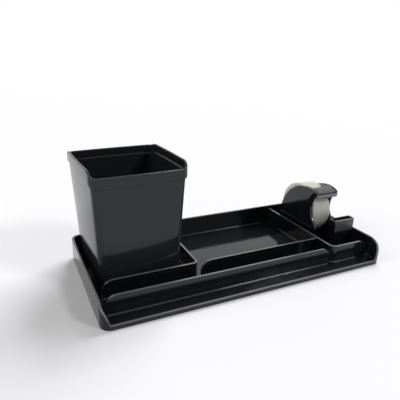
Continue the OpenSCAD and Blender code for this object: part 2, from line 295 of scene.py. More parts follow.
def rounded_rectangle(width, depth, radius, steps, step):
    """Points and outward normals, both (n, 2), of a rounded rectangle, counter-clockwise.

    Each corner is a quarter circle of the given number of steps about a centre drawn in by the radius,
    and each straight side is cut into equal parts no longer than step.
    """
    angles = np.arange(4)[:, None] * np.pi / 2 + np.linspace(0, np.pi / 2, steps)[None, :]
    normals = np.stack([np.cos(angles), np.sin(angles)], axis=-1)
    centres = np.array([[1, 1], [-1, 1], [-1, -1], [1, -1]]) * (np.array([width, depth]) / 2 - radius)
    points = (centres[:, None, :] + radius * normals).reshape(-1, 2)
    normals = normals.reshape(-1, 2)
    ends, end_normals = np.roll(points, -1, axis=0), np.roll(normals, -1, axis=0)
    counts = np.maximum(np.ceil(np.linalg.norm(ends - points, axis=1) / step).astype(int), 1)
    segment = np.repeat(np.arange(len(points)), counts)
    offset = np.arange(counts.sum()) - np.repeat(np.cumsum(counts) - counts, counts)
    t = (offset / counts[segment])[:, None]
    points = points[segment] * (1 - t) + ends[segment] * t
    normals = normals[segment] * (1 - t) + end_normals[segment] * t
    return points, normals / np.linalg.norm(normals, axis=1, keepdims=True)


def carried(points, normals, inset, z, scale=1.0, ring=False):
    """A profile carried round a closed plan loop: row i lies inset[i] inside the loop, at height z[i].

    inset and z are (rows, 1) or (rows, n), and scale may enlarge the loop point by point. The first and
    last rows are closed with flat faces, or joined to each other where ring is set.
    """
    plan = points * np.asarray(scale)[..., None] - normals * inset[..., None]
    return tube(np.dstack([plan, np.broadcast_to(z, plan.shape[:2])]), ring)


def arc(centre, radius, start, end, steps):
    """Points of a circle about centre from angle start to end in degrees, as (steps, 2)."""
    angles = np.radians(np.linspace(start, end, steps))
    return np.array(centre) + radius * np.stack([np.cos(angles), np.sin(angles)], axis=-1)


def arc_over(centre, radius, first, last, steps):
    """Points of a circle's upper half, from where it is above first to where it is above last."""
    angles = np.degrees(np.arccos((np.array([first, last]) - centre[0]) / radius))
    return arc(centre, radius, *angles, steps)


FOOT_ROWS = 4   # rows of points in an open box's foot round
EDGE_ROWS = 5   # and in each of the two rounds of its rim
FILLET_ROWS = 6   # and in a fillet between wall and floor
FILLET_LAP = 0.3 * MM   # how far a separate fillet runs on inside the wall and the floor


def open_box_profile(height, wall, floor, edge, fillet, foot):
    """Rows of (inset, height) of an open box's section: foot round, outer face, rim, inner face, fillet.

    The foot round, the two rim edges and the fillet to the floor are quarter circles; height is (n,).
    Returns inset (rows, 1) and z (rows, n).
    """
    foot_round = arc((foot, foot), foot, 270, 180, FOOT_ROWS)
    rim = np.vstack([arc((edge, -edge), edge, 180, 90, EDGE_ROWS),
                     arc((wall - edge, -edge), edge, 90, 0, EDGE_ROWS)])
    inner = arc((wall + fillet, floor + fillet), fillet, 180, 270, FILLET_ROWS)
    inset = np.concatenate([foot_round[:, 0], rim[:, 0], inner[:, 0]])[:, None]
    level = np.zeros_like(height)
    return inset, np.concatenate([foot_round[:, 1:] + level, rim[:, 1:] + height, inner[:, 1:] + level])


def mark_rim(piece, painted_light, side=0):
    """Gives an open box's rim the second material, a painted highlight, and its outer side the material
    numbered side, which on the pocket is a painted reflection.

    Both only where the mask of painted light is set, which has one value for each point of the box's loop.
    """
    foot = np.zeros((FOOT_ROWS - 1) * len(painted_light))
    mark_faces(piece, np.concatenate([foot, side * painted_light, np.tile(painted_light, 2 * EDGE_ROWS - 1)]))


def foot_ring(points, normals, radius, floor):
    """A quarter-circle fillet carried round a wall's closed plan loop, where the wall meets the floor."""
    section = np.vstack([
        [[-FILLET_LAP, radius]], arc((radius, radius), radius, 180, 270, FILLET_ROWS),
        [[radius, -FILLET_LAP], [-FILLET_LAP, -FILLET_LAP]]])
    return carried(points, normals, -section[:, :1], floor + section[:, 1:], ring=True)


def rounded_end(radius, height):
    """Distances from a wall's free end, and the wall's heights there: a quarter circle of that radius."""
    angles = np.radians(np.linspace(0, 90, 16))
    return radius * (1 - np.cos(angles)), height - radius * (1 - np.sin(angles))


def straight_path(x0, x1, y, height, first_radius, last_radius):
    """Plan path, outward normals and heights of a wall along X whose outer side faces -Y."""
    first_x, first_z = rounded_end(first_radius, height)
    last_x, last_z = rounded_end(last_radius, height)
    x = np.concatenate([x0 + first_x, x1 - last_x[::-1]])
    path = np.column_stack([x, np.full_like(x, y)])
    return path, np.tile([0.0, -1.0], (len(x), 1)), np.concatenate([first_z, last_z[::-1]])


def bay_path(corner, side, run, back, radius, height, end_radius):
    """Plan path, normals and heights of a wall from a free end to a round corner and back along +Y.

    side is -1 where the free end lies on the corner's left and 1 where it lies on its right.
    """
    distance, rise = rounded_end(end_radius, height)
    straight = np.column_stack([corner[0] + side * (run - distance), np.full_like(distance, corner[1])])
    angles = np.radians(np.linspace(0, 90, 12))
    turn = np.column_stack([-side * np.sin(angles), -np.cos(angles)])
    bend = np.array([corner[0] + side * radius, corner[1] + radius]) + radius * turn
    path = np.vstack([straight, bend, [[corner[0], back]]])
    normals = np.vstack([np.tile([0.0, -1.0], (len(distance), 1)), turn, [[-side, 0.0]]])
    return path, normals, np.concatenate([rise, np.full(len(angles) + 1, height)])


# The 1 gives a wall's top the rim material, a painted highlight.
WALL_MATERIALS = [0, 1, 0, 0]   # of a wall's outer face, top, inner face and foot, step by step along it


def wall_solid(path, normals, heights, thick, foot):
    """A wall on a plan path: two upright faces a wall's thickness apart, a top that follows the heights."""
    inner = path - thick * normals
    low = np.full(len(path), foot)
    corners = [(path, low), (path, heights), (inner, heights), (inner, low)]
    return tube(np.stack([np.column_stack(corner) for corner in corners], axis=1))


def wall_fillet(path, normals, thick, radius, corner, floor):
    """The fillet round a wall's foot, on a plan of its outer side, inner side and small round corners."""
    def corner_arc(at, first, second):
        """A quarter circle from facing first to facing second, inside the corner."""
        a = np.linspace(0, np.pi / 2, 4)[:, None]
        turn = np.cos(a) * first + np.sin(a) * second
        return at - corner * (first + second) + corner * turn, turn

    inner = path - thick * normals
    first_end, last_end = (
        (end - before) / np.linalg.norm(end - before) for end, before in (path[:2], path[:-3:-1]))
    pieces = [
        corner_arc(path[0], first_end, normals[0]), (path[1:-1], normals[1:-1]),
        corner_arc(path[-1], normals[-1], last_end), corner_arc(inner[-1], last_end, -normals[-1]),
        (inner[1:-1][::-1], -normals[1:-1][::-1]), corner_arc(inner[0], -normals[0], first_end)]
    points, turned = (np.vstack(parts) for parts in zip(*pieces))
    return foot_ring(points, turned, radius, floor)


def set_along_x(outline, x):
    """An outline (n, 2) of (y, z) points repeated at each place x, as sections (len(x), n, 3)."""
    return np.stack(np.broadcast_arrays(np.asarray(x)[:, None], *outline.T), axis=-1)


def extruded(outline, low, high):
    """A closed prism of an outline (n, 2) of (y, z) points along X from low to high, in either order."""
    return tube(set_along_x(outline, sorted((low, high))))


def revolved(profile, centre, steps=180):
    """A closed profile (n, 2) of (x, radius) turned about the X axis through centre (y, z)."""
    angles = np.linspace(0, 2 * np.pi, steps, endpoint=False)[:, None]
    x, radius = profile.T
    y, z = centre[0] + radius * np.cos(angles), centre[1] + radius * np.sin(angles)
    return tube(np.stack([np.broadcast_to(x, y.shape), y, z], axis=-1), ring=True)


def ring_section(x0, x1, inner, outer, edge):
    """Closed (x, radius) section of a ring with quarter-circle edges."""
    return np.vstack([
        arc((x0 + edge, inner + edge), edge, 180, 270, 4), arc((x1 - edge, inner + edge), edge, 270, 360, 4),
        arc((x1 - edge, outer - edge), edge, 0, 90, 4), arc((x0 + edge, outer - edge), edge, 90, 180, 4)])


# ---------------- material tools

def set_sockets(tree, node, links):
    """Sets a node's sockets; links are (socket, value, output socket or node) pairs.

    A node stands for the first output that it has with its settings.
    """
    for socket, value in links:
        if isinstance(value, bpy.types.Node):
            value = next(output for output in value.outputs if output.enabled)
        if isinstance(value, bpy.types.NodeSocket):
            tree.links.new(value, node.inputs[socket])
        else:
            node.inputs[socket].default_value = value


def add_node(tree, kind, links=(), **settings):
    """Adds a shader node with its settings and links."""
    node = tree.nodes.new(kind)
    for name, value in settings.items():
        setattr(node, name, value)
    set_sockets(tree, node, links)
    return node


def new_material(name, base, roughness, *sockets):
    """A material with one Principled shader set to constant values.

    Returns it, its tree, its shader, and the object's own coordinates for a pattern to read.
    """
    material = bpy.data.materials.new(name)
    material.use_nodes = True
    tree = material.node_tree
    shader = tree.nodes["Principled BSDF"]
    set_sockets(tree, shader, [("Base Color", (*base, 1)), ("Roughness", roughness), *sockets])
    return material, tree, shader, add_node(tree, "ShaderNodeTexCoord").outputs["Object"]


def shade(base, factor, lift=0.0):
    """A linear colour multiplied and lifted, with an alpha of 1."""
    return (*(min(1.0, factor * c + lift) for c in base), 1)


GLOSS_IOR = 1.45   # below polystyrene's usual 1.59, for the fainter mirror of the real moulding
FILM_IOR = 1.47   # polypropylene film


def moulded_gloss(name, base, shift, ior=GLOSS_IOR):
    """Polystyrene moulded against polished steel: near black, mirroring the light round it.

    Melt flow leaves a ripple about 25 mm long in the mirror, handling leaves smudges of about 18 mm and
    rub marks of about 1 mm, drawn coarser than real ones so that they show.
    """
    material, tree, shader, place = new_material(name, base, 0.1, ("IOR", ior))
    place = add_node(tree, "ShaderNodeMapping", [("Vector", place), ("Location", shift)])
    ripple, rub, smudge = (
        add_node(tree, "ShaderNodeTexNoise", [
            ("Vector", place), ("Scale", 1 / (size * MM)), ("Detail", detail), ("Roughness", roughness)])
        for size, detail, roughness in ((25, 1.0, 0.5), (1.2, 3.0, 0.6), (18, 4.0, 0.65)))
    shine = add_node(tree, "ShaderNodeMapRange", [
        ("Value", smudge), ("From Min", 0.35), ("From Max", 0.7), ("To Min", 0.06), ("To Max", 0.14)])
    wave = add_node(tree, "ShaderNodeBump", [("Height", ripple), ("Strength", 0.5), ("Distance", 0.15 * MM)])
    marks = add_node(tree, "ShaderNodeBump", [
        ("Height", rub), ("Strength", 0.1), ("Distance", 0.01 * MM), ("Normal", wave)])
    set_sockets(tree, shader, [("Roughness", shine), ("Normal", marks)])
    return material


def painted_highlight_edge(name, base):
    """The same plastic on its rims and rounded edges, painted a lighter grey there as a painted highlight,
    and finely scratched.

    The scratches are drawn about 0.6 mm apart so that they show.
    """
    # Lighter grey base: a painted highlight along the rims and rounded edges.
    material, tree, shader, place = new_material(name, shade(base, 1.9, 0.13)[:3], 0.25, ("IOR", GLOSS_IOR))
    scratch = add_node(tree, "ShaderNodeTexNoise", [
        ("Vector", place), ("Scale", 1 / (0.6 * MM)), ("Detail", 3.0)])
    rough = add_node(tree, "ShaderNodeMapRange", [("Value", scratch), ("To Min", 0.1), ("To Max", 0.25)])
    set_sockets(tree, shader, [("Roughness", rough)])
    return material


def moulded_satin(name, base):
    """Polystyrene moulded against blasted steel: a fine even grain of about 0.4 mm and a soft sheen."""
    material, tree, shader, place = new_material(name, base, 0.42, ("IOR", 1.56))
    grain = add_node(tree, "ShaderNodeTexNoise", [
        ("Vector", place), ("Scale", 1 / (0.4 * MM)), ("Detail", 2.0)])
    bump = add_node(tree, "ShaderNodeBump", [("Height", grain), ("Strength", 0.25), ("Distance", 0.03 * MM)])
    set_sockets(tree, shader, [("Normal", bump)])
    return material


def streaks(tree, place, sizes, detail):
    """Noise drawn out into streaks, whose sizes along X, Y and Z are given in millimetres."""
    stretched = add_node(tree, "ShaderNodeMapping", [
        ("Vector", place), ("Scale", [1 / (size * MM) for size in sizes])])
    return add_node(tree, "ShaderNodeTexNoise", [("Vector", stretched), ("Scale", 1.0), ("Detail", detail)])


def painted_reflection_gloss(name, base, height):
    """The same plastic, painted lighter grey in streaks up and down where it stands above the walls of that
    height: a painted reflection of the bright surround over the walls, drawn like scratches, and rougher
    there.

    The streaks are drawn about 0.5 mm wide and 6 mm long so that they show.
    """
    material, tree, shader, place = new_material(name, base, 0.36, ("IOR", GLOSS_IOR))
    scratch = streaks(tree, place, (0.5, 0.5, 6), 3.0)
    level = add_node(tree, "ShaderNodeSeparateXYZ", [("Vector", place)]).outputs["Z"]
    reach = add_node(tree, "ShaderNodeMapRange", [
        ("Value", level), ("From Min", height - 3 * MM), ("From Max", height - 1 * MM)])
    depth = add_node(tree, "ShaderNodeMapRange", [
        ("Value", scratch), ("From Min", 0.2), ("From Max", 0.8), ("To Min", 0.4)])
    # How much painted reflection: lighter grey streaks, only above the walls' height.
    painted_light = add_node(tree, "ShaderNodeMath", [(0, reach), (1, depth)], operation="MULTIPLY")
    tint = add_node(tree, "ShaderNodeMix", [
        ("Factor", painted_light), ("A", shade(base, 1)), ("B", shade(base, 2, 0.1))], data_type="RGBA")
    rough = add_node(tree, "ShaderNodeMapRange", [("Value", reach), ("To Min", 0.1), ("To Max", 0.36)])
    set_sockets(tree, shader, [("Base Color", tint), ("Roughness", rough)])
    return material


def stamped_steel(name, base):
    """Cold-rolled steel strip, its colour darker than bare steel as painted shade under the bridge's nose,
    with rolling lines about 0.15 mm apart along the cutter.
    """
    material, tree, shader, place = new_material(name, base, 0.28, ("Metallic", 1.0))
    lines = streaks(tree, place, (50, 0.15, 0.15), 2.0)
    rough = add_node(tree, "ShaderNodeMapRange", [("Value", lines), ("To Min", 0.2), ("To Max", 0.4)])
    set_sockets(tree, shader, [("Roughness", rough)])
    return material


def layer_rings(tree, place, detail, roughness):
    """Rings about the roll's axis, drawn about 0.5 mm apart: noise over the distance from the axis."""
    moved = add_node(tree, "ShaderNodeVectorMath", [(0, place), (1, (0, *AXIS))], operation="SUBTRACT")
    flat = add_node(tree, "ShaderNodeVectorMath", [(0, moved), (1, (0, 1, 1))], operation="MULTIPLY")
    distance = add_node(tree, "ShaderNodeVectorMath", [(0, flat)], operation="LENGTH")
    return add_node(tree, "ShaderNodeTexNoise", [
        ("W", distance), ("Scale", 1 / (0.5 * MM)), ("Detail", detail), ("Roughness", roughness)],
        noise_dimensions="1D")


def wound_film(name, base):
    """Clear film with adhesive, wound hard: milky cream, with its layers as rings on the roll's sides.

    Real layers are 0.05 mm thick; the rings are drawn further apart so that they show.
    """
    material, tree, shader, place = new_material(
        name, base, 0.22, ("IOR", FILM_IOR), ("Subsurface Weight", 0.6), ("Subsurface Scale", 12 * MM),
        ("Subsurface Radius", (1.0, 1.0, 0.9)))
    rings = layer_rings(tree, place, 3.0, 0.7)
    tint = add_node(tree, "ShaderNodeMix", [
        ("Factor", rings), ("A", shade(base, 0.84)), ("B", shade(base, 1.06))], data_type="RGBA")
    bump = add_node(tree, "ShaderNodeBump", [("Height", rings), ("Strength", 0.3), ("Distance", 0.05 * MM)])
    set_sockets(tree, shader, [("Base Color", tint), ("Normal", bump)])
    return material


def single_film(name, base):
    """One layer of the same film: clear, glossy, with faint milky streaks along its length."""
    material, tree, shader, place = new_material(name, base, 0.12, ("IOR", FILM_IOR))
    milky = streaks(tree, place, (1.5, 25, 25), 2.0)
    veil = add_node(tree, "ShaderNodeMapRange", [("Value", milky), ("To Min", 0.03), ("To Max", 0.12)])
    set_sockets(tree, shader, [("Alpha", veil)])
    return material


def wound_board(name, base):
    """Grey-brown board wound in layers of about 0.5 mm, with paper fibres of about 0.8 mm."""
    material, tree, shader, place = new_material(name, base, 0.85, ("IOR", 1.45))
    layers = layer_rings(tree, place, 1.0, 0.5)
    fibre = add_node(tree, "ShaderNodeTexNoise", [
        ("Vector", place), ("Scale", 1 / (0.8 * MM)), ("Detail", 4.0)])
    mixed = add_node(tree, "ShaderNodeMath", [(0, layers), (1, fibre)], operation="MULTIPLY")
    tint = add_node(tree, "ShaderNodeMix", [
        ("Factor", mixed), ("A", shade(base, 0.7)), ("B", shade(base, 1.25))], data_type="RGBA")
    set_sockets(tree, shader, [("Base Color", tint)])
    return material


# ---------------- pieces

def outer_height(y, s):
    """Height of the outer walls at depth y: the flat lip, then a quarter circle up to the full height.

    Each point of the closed row then shares its height with its neighbours, which softens the start.
    """
    start = 0.7 * s.wall   # from the front face to the foot of the rise
    t = np.clip((y - TRAY_LOW[1] - start) / (s.shoulder + s.wall - start), 0, 1)
    rise = s.lip + (s.height - s.lip) * np.sqrt(1 - (1 - t) ** 2)
    shares = np.array([1, 2, 3, 2, 1]) / 9
    return np.convolve(np.concatenate([rise[-2:], rise, rise[:2]]), shares, mode="valid")


def make_tray_shell(s, *materials):
    """Floor, outer walls and lip: an open box's section carried round the tray's rounded rectangle."""
    low, high = TRAY_LOW[:2], TRAY_HIGH[:2]
    points, normals = rounded_rectangle(*(high - low), s.corner, steps=40, step=0.6 * MM)
    points += (low + high) / 2
    height = outer_height(points[:, 1] - 0.5 * s.wall * normals[:, 1], s)
    inset, z = open_box_profile(height, s.wall, s.floor, s.edge, s.fillet, foot=0.5 * MM)
    piece = new_piece("tray_shell", "tray", carried(points, normals, inset, z), *materials)
    mark_rim(piece, np.ones(len(points)))
    flatten_light(piece)


def make_tray_walls(s, *materials):
    """The walls inside the tray, each with its rounded free end, and the fillets at their feet."""
    (left, front, _), (right, rear, _) = TRAY_LOW, TRAY_HIGH
    left_face, right_face, back = left + s.wall, right - s.wall, rear - s.wall / 2
    front_wall = front + s.wall + s.groove
    middle_wall = front_wall + s.wall + s.slot
    cup_bay = left_face + s.wall + s.cup_bay
    clip_bay = right_face - s.wall - s.clip_bay
    sunk, square = 0.5 * MM, 0.001 * MM   # the walls' feet in the floor, and the radius of a square end
    walls = {
        "tray_front_wall": straight_path(
            left_face + s.front_gap, clip_bay - s.clip_gap, front_wall, s.front_wall, s.front_end,
            s.front_end),
        "tray_cup_bay_wall": bay_path(
            (cup_bay, middle_wall), -1, cup_bay - left_face - s.middle_gap, back, s.cup_bay_corner,
            s.middle_wall, s.middle_end),
        "tray_note_bay_wall": straight_path(
            cup_bay + s.finger_gap, clip_bay + s.wall / 2, middle_wall, s.middle_wall, s.middle_end, square),
        "tray_clip_bay_wall": bay_path(
            (clip_bay, front_wall), 1, right_face - s.front_gap - clip_bay, back, s.clip_bay_corner,
            s.front_wall, s.front_end),
    }
    fillets = []
    for name, (path, normals, heights) in walls.items():
        wall = wall_solid(path, normals, heights, s.wall, s.floor - sunk)
        piece = new_piece(name, "tray", wall, *materials)
        mark_faces(piece, np.tile(WALL_MATERIALS, len(path) - 1))
        # The rounded edges take the rim material, a painted highlight.
        round_edges(piece, s.edge).material = 1
        fillets.append(wall_fillet(path, normals, s.wall, s.fillet, s.edge, s.floor))
    new_piece("tray_foot_fillets", "tray", joined(*fillets), materials[0])


def make_upright_pocket(s, *materials):
    """The upright pocket: an open box's section carried round its small rounded rectangle.

    The second material, a painted highlight, goes to the front wall's rim, and the third, a painted
    reflection, to that wall's outer side. No face lies in one plane with the tray's underside or right side.
    """
    lift, clear = 0.2 * MM, 0.06 * MM   # off the tray's underside and off its right side
    points, normals = rounded_rectangle(
        s.pocket_width, s.pocket_depth, s.pocket_corner, steps=10, step=1 * MM)
    points += (TRAY_HIGH[0] - s.pocket_width / 2, TRAY_LOW[1] + s.pocket_front + s.pocket_depth / 2)
    inset, z = open_box_profile(
        np.full(len(points), s.pocket_height), s.wall, s.floor, s.edge, fillet=0.15 * MM, foot=0.1 * MM)
    shape = joined(carried(points, normals, inset, z + lift), foot_ring(points, normals, s.fillet, s.floor))
    shape[0][:, 0] = np.minimum(shape[0][:, 0], TRAY_HIGH[0] - clear)
    piece = new_piece("tray_upright_pocket", "tray", shape, *materials)
    front = normals[:, 1] < -0.9   # where the pocket faces the user
    mark_rim(piece, front, side=2)
    flatten_light(piece)


def make_pen_cup(s, material):
    """The pen cup: rounded squares stacked from the foot to the rim band and down again inside.

    Each row is the band's plan, scaled by the body's straight lean and drawn in along its normals by the
    wall and by a crown that grows with the square of the distance from a side's middle. Over its run
    the rim swings by half a cosine wave from the level of the front, or of the rear, to the sides.
    """
    body = s.width / 2 - s.step
    low = s.height - s.band
    points, normals = rounded_rectangle(2 * body, 2 * body, s.corner - s.step, steps=16, step=1 * MM)
    depth = points[:, 1] + s.step * normals[:, 1]
    part = np.clip((s.width / 2 - np.abs(depth)) / s.run, 0, 1)
    start = np.where(depth > 0, s.rear, 0)
    swing = start + (s.rise - start) * (1 - np.cos(np.pi * part)) / 2
    across = np.min(np.abs(points), axis=1) / body

    def lean(z):
        """Scale of the plan at height z."""
        return 1 - s.taper / body * (1 - z / low)

    def row(inset, z, scale):
        """Inset, height and scale of one row, with its crown and its bulge towards the foot."""
        bulge = s.bulge * across ** 4 * np.clip(1 - (z / low) ** 2, 0, 1)
        return np.broadcast_arrays(inset + s.crown * across ** 2 + bulge, z, scale)

    foot, inner_foot = 1.2 * MM, 2.0 * MM   # radii where the walls meet the floor outside and inside
    edge, lip = 0.35 * MM, 0.8 * MM   # radii of the band's and the ledge's edges, and of the lip
    below, tuck = 0.25 * MM, 0.1 * MM   # where the body ends below the band, and the corner between them
    inside, ledge = s.wall - s.step, low + s.ledge
    band = np.vstack([
        [[-tuck, low - tuck]], [[-s.step + edge, low]],
        arc((-s.step + edge, low + edge), edge, 270, 180, 4)[1:],
        arc((-s.step + lip, s.height - lip), lip, 180, 90, 6),
        arc((inside - lip, s.height - lip), lip, 90, 0, 6),
        arc((inside + edge, ledge + edge), edge, 180, 270, 4),
        arc((s.wall - edge, ledge - edge), edge, 90, 0, 4)])
    steps = np.linspace(0, 1, 14)[1:]
    rows = [row(inset, z, lean(0.0)) for inset, z in arc((foot, foot), foot, 270, 180, 5)]
    outer = [foot + (low - below - foot) * t + swing * t for t in steps]
    rows += [row(0.0, z, lean(z)) for z in outer]
    rows += [row(inset, z + swing, 1.0) for inset, z in band]
    top, bottom = ledge - edge, s.floor + inner_foot
    inner = [top + (bottom - top) * t + swing * (1 - t) for t in steps]
    rows += [row(s.wall, z, lean(z)) for z in inner]
    rows += [row(inset, z, lean(s.floor))
             for inset, z in arc((s.wall + inner_foot, bottom), inner_foot, 180, 270, 6)[1:]]
    inset, z, scale = np.stack(rows, axis=1)
    shape, faces = carried(points, normals, inset, z, scale)
    cos, sin = np.cos(s.turn), np.sin(s.turn)
    shape[:, :2] = shape[:, :2] @ np.array([[cos, sin], [-sin, cos]])
    shape += (*(CUP_LOW + CUP_HIGH)[:2] / 2, CUP_LOW[2])
    flatten_light(new_piece("cup_body", "pen_cup", (shape, faces), material))


def dispenser_circles(s):
    """Centres (y, z) of the side plates' nose curve and mouth, in the dispenser's own frame."""
    return (np.array([DISPENSER_SIZE[1] - s.rear_curve, DISPENSER_SIZE[2] - s.nose_curve]),
            np.array([s.mouth_depth - s.mouth, s.mouth_height]))


def plate_outline(s):
    """A side plate's outline: base, long rear curve, nose curve, nose face and round mouth, from (y, z)."""
    _, depth, height = DISPENSER_SIZE
    nose, mouth = dispenser_circles(s)
    upper, lower = np.degrees(np.arccos((np.array([s.nose, 0]) - mouth[0]) / s.mouth))
    return np.vstack([
        [[0, 0], [depth, 0]],
        arc((nose[0], height - s.rear_curve), s.rear_curve, 0, 90, 60),
        arc_over(nose, s.nose_curve, nose[0], s.nose, 24)[1:],
        arc(mouth, s.mouth, upper, -lower, 48)])


def mouth_flare(s, outer, inward):
    """Section (x, radius) of what is cut off a plate's outer face round the mouth.

    It leaves a quarter of an ellipse, x = outer + inward flare_in (1 - sin t), radius = mouth + flare (1 -
    cos t), so that the face rolls over into the mouth.
    """
    t = np.radians(np.linspace(0, 90, 13))
    depth = np.concatenate([[s.flare_in], s.flare_in * (1 - np.sin(t)), [-BEYOND, -BEYOND]])
    radius = np.concatenate([
        [s.mouth - BEYOND], s.mouth + s.flare * (1 - np.cos(t)), [s.mouth + s.flare, s.mouth - BEYOND]])
    return np.column_stack([outer + inward * depth, radius])


def in_place(shape):
    """Points and faces given in the dispenser's own frame, moved to where it stands."""
    points, faces = shape
    return points + DISPENSER_LOW, faces


def cut_away(piece, shape):
    """Cuts a solid, given in the dispenser's own frame, out of a plate."""
    cutter = new_solid("cutter", *in_place(shape))
    cut = piece.modifiers.new("Cut", "BOOLEAN")
    cut.operation = "DIFFERENCE"
    cut.solver = "EXACT"
    cut.object = cutter
    bpy.context.view_layer.update()
    evaluated = piece.evaluated_get(bpy.context.evaluated_depsgraph_get())
    piece.data = bpy.data.meshes.new_from_object(evaluated)
    piece.modifiers.remove(cut)
    bpy.data.objects.remove(cutter)


def make_side_plates(s, material):
    """Two plates with softly rounded edges, each with a groove for the spool's axle in its inner face."""
    width, _, height = DISPENSER_SIZE
    axis_y, axis_z = AXIS - DISPENSER_LOW[1:]
    radius = s.axle / 2
    groove = np.vstack([arc((axis_y, axis_z), radius, 180, 360, 24), [
        [axis_y + radius, height + BEYOND], [axis_y - radius, height + BEYOND]]])
    for name, outer, inward in (("dispenser_left_plate", 0.0, 1), ("dispenser_right_plate", width, -1)):
        inner = outer + inward * s.plate
        plate = in_place(extruded(plate_outline(s), outer, inner))
        piece = new_piece(name, "dispenser_body", plate, material)
        cut_away(piece, extruded(groove, inner - inward * s.axle_depth, inner + inward * BEYOND))
        cut_away(piece, revolved(mouth_flare(s, outer, inward), dispenser_circles(s)[1]))
        round_edges(piece, s.edge)


def make_dispenser_frame(s, material):
    """What joins the plates: base, low toe and rear walls, and the curved bridge over the nose."""
    width, depth, _ = DISPENSER_SIZE
    nose, _ = dispenser_circles(s)
    base = np.array([
        [0, 0], [depth, 0], [depth, s.rear_wall], [depth - s.base, s.rear_wall], [depth - s.base, s.base],
        [s.base, s.base], [s.base, s.toe_wall], [0, s.toe_wall]])
    back, inner = s.nose + s.bridge, s.nose + s.bridge_thick
    over = arc_over(nose, s.nose_curve, back, s.nose, 16)
    under = arc_over(nose, s.nose_curve - s.bridge_thick, inner, back, 14)
    face_low = over[-1][1] - s.bridge_face
    bridge = np.vstack([over, [[s.nose, face_low], [inner, face_low]], under])
    lap = s.plate / 2
    for name, outline in (("dispenser_base", base), ("dispenser_bridge", bridge)):
        shape = in_place(extruded(outline, lap, width - lap))
        round_edges(new_piece(name, "dispenser_body", shape, material), SMALL_EDGE, segments=2)


def make_cutter(s, material):
    """The cutter: a steel strip whose lower edge is a row of pointed teeth, ground thin towards them."""
    (x0, front, low), (x1, rear, high) = BLADE_LOW, BLADE_HIGH
    x = np.linspace(x0, x1, 2 * round((x1 - x0) / s.tooth) + 1)
    bevel, left = 0.4 * MM, 0.2   # height ground above the teeth, and share of the thickness left there
    tip = low + np.where(np.arange(len(x)) % 2 == 1, 0, s.tooth_height)
    root = low + s.tooth_height + bevel
    ground = rear - left * (rear - front)
    section = [(front, high), (front, root), (ground, tip), (rear, tip), (rear, high)]
    strip = np.stack([np.column_stack(np.broadcast_arrays(x, y, z)) for y, z in section], axis=1)
    new_piece("dispenser_cutter", "cutter_blade", tube(strip), material).data.shade_flat()


def make_tape(s, dispenser, film, loose, board, plastic):
    """The roll, its board core and the spool, all revolved about the axle, and the roll's free end."""
    middle = (ROLL_LOW[0] + ROLL_HIGH[0]) / 2
    half = s.width / 2
    x0, x1 = middle - half, middle + half
    play, bore = 0.075 * MM, 0.05 * MM   # clearance round the core, and a hair's breadth at the axis
    outer, core_out = (ROLL_HIGH - ROLL_LOW)[2] / 2, (CORE_HIGH - CORE_LOW)[2] / 2
    core_in = core_out - s.core
    roll = revolved(ring_section(x0, x1, core_out + play, outer, edge=0.15 * MM), AXIS)
    new_piece("tape_roll_body", "tape_roll", roll, film)
    core = revolved(ring_section(x0, x1, core_in, core_out, edge=0.1 * MM), AXIS)
    new_piece("tape_core_body", "tape_core", core, board)
    rim_out = core_in - 2 * play
    rim_in = rim_out - s.rim
    axle_end = (SPOOL_HIGH - SPOOL_LOW)[0] / 2
    hub_end = axle_end - s.axle_length
    section = np.array([
        (axle_end, bore), (axle_end, s.axle / 2), (hub_end, s.axle / 2), (hub_end, s.hub / 2),
        (s.web / 2, s.hub / 2), (s.web / 2, rim_in), (half, rim_in), (half, rim_out)])
    section = np.vstack([section, (section * [-1, 1])[::-1]]) + [middle, 0]
    spool = new_piece("tape_spool_body", "tape_spool", revolved(section, AXIS, steps=128), plastic)
    round_edges(spool, SMALL_EDGE, segments=2)
    points = 24   # that the cutter leaves in the free end
    make_tape_end(s, dispenser, outer, np.linspace(x0, x1, 2 * points + 1), loose)


def make_tape_end(s, dispenser, roll_radius, x, material):
    """The roll's free end: straight off the roll, over the bridge's curve, cut in points by the teeth.

    Its section is a band of the film's thickness along the straight tangent and then along the circle
    of the bridge; across the width the last row follows the teeth.
    """
    off_bridge = 0.05 * MM   # keeps its face off the bridge's
    shown = 0.8   # share of the film's thickness
    notch = 0.5   # a tooth's cut, as a share of the last step
    circle = DISPENSER_LOW[1:] + dispenser_circles(dispenser)[0]
    nose = DISPENSER_LOW[1] + dispenser.nose
    curve = arc_over(circle, dispenser.nose_curve, nose + dispenser.bridge, nose, 14)
    lift = (curve - circle) / dispenser.nose_curve
    reach = AXIS - curve[0]
    clear = roll_radius + s.clear
    run = np.sqrt(reach @ reach - clear ** 2)
    slope = np.arctan2(reach[1], reach[0]) + np.arcsin(clear / np.linalg.norm(reach))
    along = np.array([np.cos(slope), np.sin(slope)])
    straight = curve[0] + along * np.linspace(run, 0, 20)[:-1, None]
    path = np.vstack([straight, curve + off_bridge * lift])
    normal = np.vstack([np.tile([-along[1], along[0]], (len(straight), 1)), lift])
    outline = np.vstack([path, (path + shown * s.film * normal)[::-1]])
    strip = set_along_x(outline, x)
    n = len(path)
    cut = notch * (np.arange(len(x)) % 2)[:, None]
    for last, before in ((n - 1, n - 2), (n, n + 1)):
        strip[:, last] += cut * (strip[:, before] - strip[:, last])
    flatten_light(new_piece("tape_end_body", "tape_end", tube(strip), material))


# ---------------- stage

WORLD_LIGHT = 0.17   # strength of the surround's light on the object
FLOOR_GLOW = 0.15   # white added to the floor where the camera, gloss and glass see it
FLOOR_HALF = 3.0   # half the floor's side in metres
WHITE = (1, 1, 1, 1)

